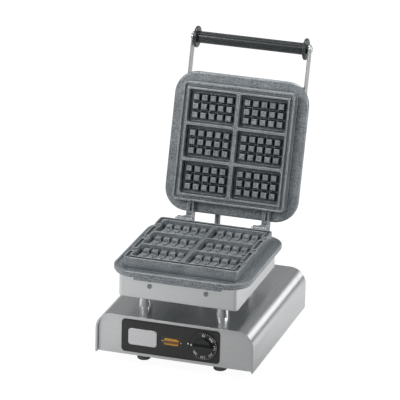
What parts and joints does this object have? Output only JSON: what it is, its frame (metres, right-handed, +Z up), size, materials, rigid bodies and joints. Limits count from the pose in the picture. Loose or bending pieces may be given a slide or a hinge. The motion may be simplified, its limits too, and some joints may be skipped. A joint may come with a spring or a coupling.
{
  "type": "waffle on a stick maker",
  "caption": "Hinged counter iron with two cast plates of pegged cavities for stick waffles, over a steel base with a thermostat dial.",
  "frame": {"origin": "on the counter under the middle of the base casing", "axes": "+X to the object's right seen from the front, -Y to the front with the controls, +Z up"},
  "size_m": [0.32, 0.5056, 0.5546],
  "materials": {
    "casing_steel": "satin stainless sheet",
    "polished_steel": "polished",
    "fastener_steel": "plated",
    "hinge_steel": "oiled dark steel",
    "galvanised_sheet": "galvanised",
    "cast_plate": "bare casting, matt",
    "heater_sheath": "heat-darkened sheath",
    "wool": "ceramic wool",
    "foot_rubber": "matt rubber",
    "black_overlay": "satin film",
    "badge_metal": "satin plate, bare",
    "amber_lens": "clear amber",
    "white_plastic": "moulded",
    "black_phenolic": "moulded",
    "black_knob": "moulded",
    "black_grip": "moulded, fluted",
    "copper_tube": "drawn tube",
    "gland_metal": "nickel plated",
    "conduit_metal": "flexible metal conduit"
  },
  "bodies": {
    "base": {"badge_plate": "badge_metal", "base_back_panel": "casing_steel", "base_bottom_plate": "galvanised_sheet", "base_cover": "casing_steel", "base_front_panel": "casing_steel", "base_hose_gland": "gland_metal", "bottom_screws": "fastener_steel", "conduit_hose": "conduit_metal", "control_overlay": "black_overlay", "foot_nuts": "fastener_steel", "foot_screws": "fastener_steel", "hinge_nuts": "hinge_steel", "hinge_pins": "hinge_steel", "lower_clamp_bolts": "fastener_steel", "lower_heater": "heater_sheath", "lower_heater_clamp": "galvanised_sheet", "lower_insulation": "wool", "lower_plate": "cast_plate", "lower_skirt": "casing_steel", "mains_gland": "black_phenolic", "pilot_lamp_body": "white_plastic", "pilot_lamp_lens": "amber_lens", "rubber_feet": "foot_rubber", "skirt_screws": "fastener_steel", "standoff_bolts": "fastener_steel", "standoff_cones": "polished_steel", "standoff_nuts": "fastener_steel", "terminal_block": "white_plastic", "thermostat_body": "black_phenolic", "thermostat_bulb": "copper_tube", "wire_tube": "polished_steel"},
    "lid": {"arm_nuts": "fastener_steel", "arm_screws": "fastener_steel", "grip_disc_left": "black_grip", "grip_disc_right": "black_grip", "grip_rod": "fastener_steel", "grip_screws": "fastener_steel", "grip_tube": "black_grip", "handle_arm_left": "casing_steel", "handle_arm_right": "casing_steel", "lid_hose_gland": "gland_metal", "upper_clamp_bolts": "fastener_steel", "upper_cover": "casing_steel", "upper_heater": "heater_sheath", "upper_heater_clamp": "galvanised_sheet", "upper_insulation": "wool", "upper_plate": "cast_plate"},
    "knob": {"thermostat_knob": "black_knob", "thermostat_shaft": "fastener_steel"}
  },
  "joints": [
    {"name": "lid_hinge", "type": "hinge", "parent": "base", "child": "lid", "pos_m": [0, 0.1215, 0.199], "axis": [1, 0, 0], "range_deg": [0, 105.6], "deforming": ["conduit_hose"]},
    {"name": "thermostat_turn", "type": "hinge", "parent": "base", "child": "knob", "pos_m": [0.058, -0.18, 0.064], "axis": [0, 1, 0], "range_deg": [0, 300]}
  ]
}
